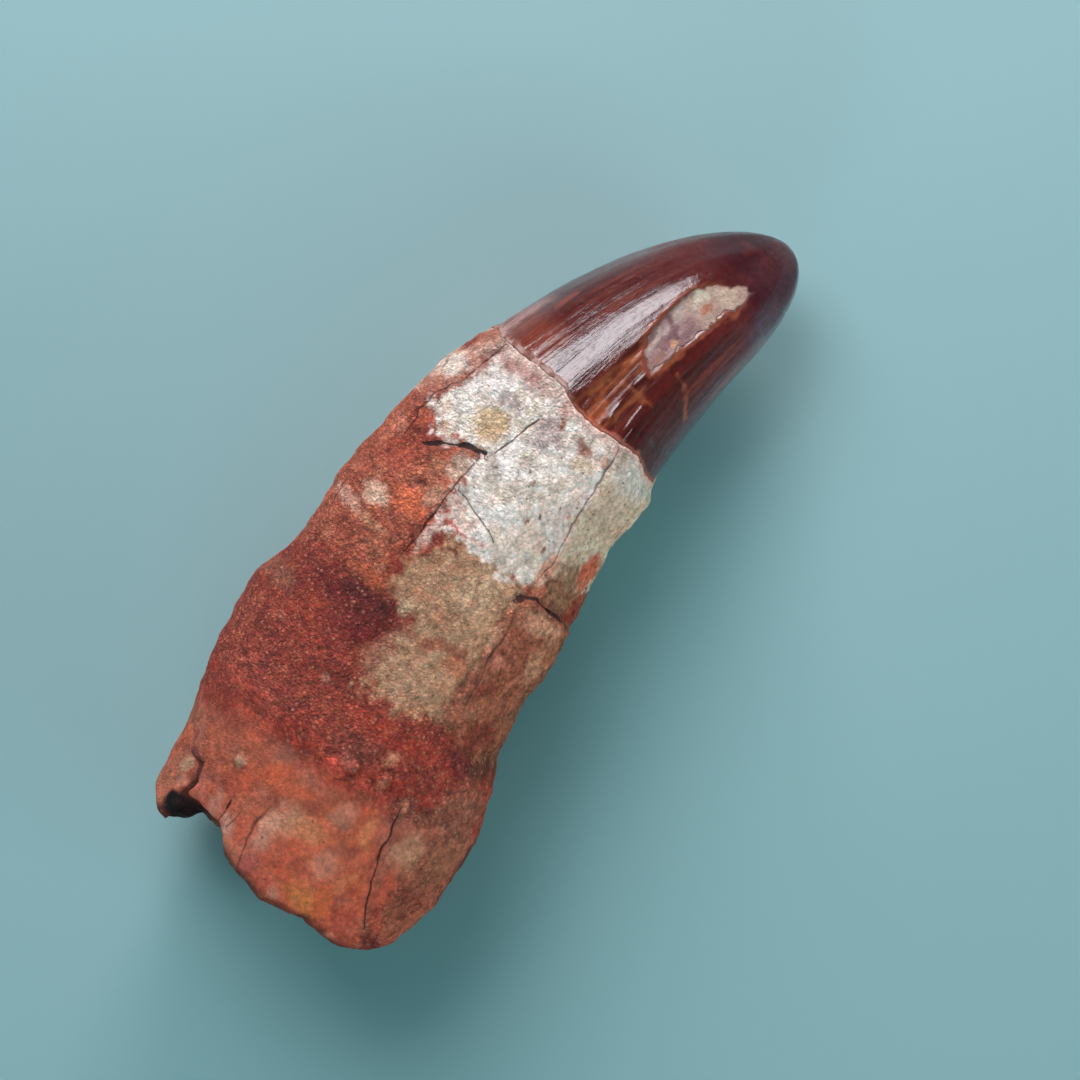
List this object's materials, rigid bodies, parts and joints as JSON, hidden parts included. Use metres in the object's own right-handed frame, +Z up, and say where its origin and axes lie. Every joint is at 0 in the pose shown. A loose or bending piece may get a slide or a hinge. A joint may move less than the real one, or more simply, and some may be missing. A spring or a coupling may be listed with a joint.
{
  "type": "fossil spinosaurus tooth",
  "caption": "Curved fossil tooth lying on its side: glossy dark enamel crown on a broken root with a cracked, sandy crust.",
  "frame": {"origin": "middle of the object's box in plan, on the level of the surface that it lies on", "axes": "+X from the broken root end to the tip of the crown, +Y to the convex side of the curve, +Z up with the tooth lying on its side"},
  "size_m": [0.0996, 0.0406, 0.0311],
  "materials": {
    "fossil_tooth": "sandy, matt, cracked crust in white, buff and rust red on the root; smooth, glossy dark red-brown enamel on the crown"
  },
  "bodies": {
    "root": {"tooth": "fossil_tooth"}
  },
  "joints": []
}
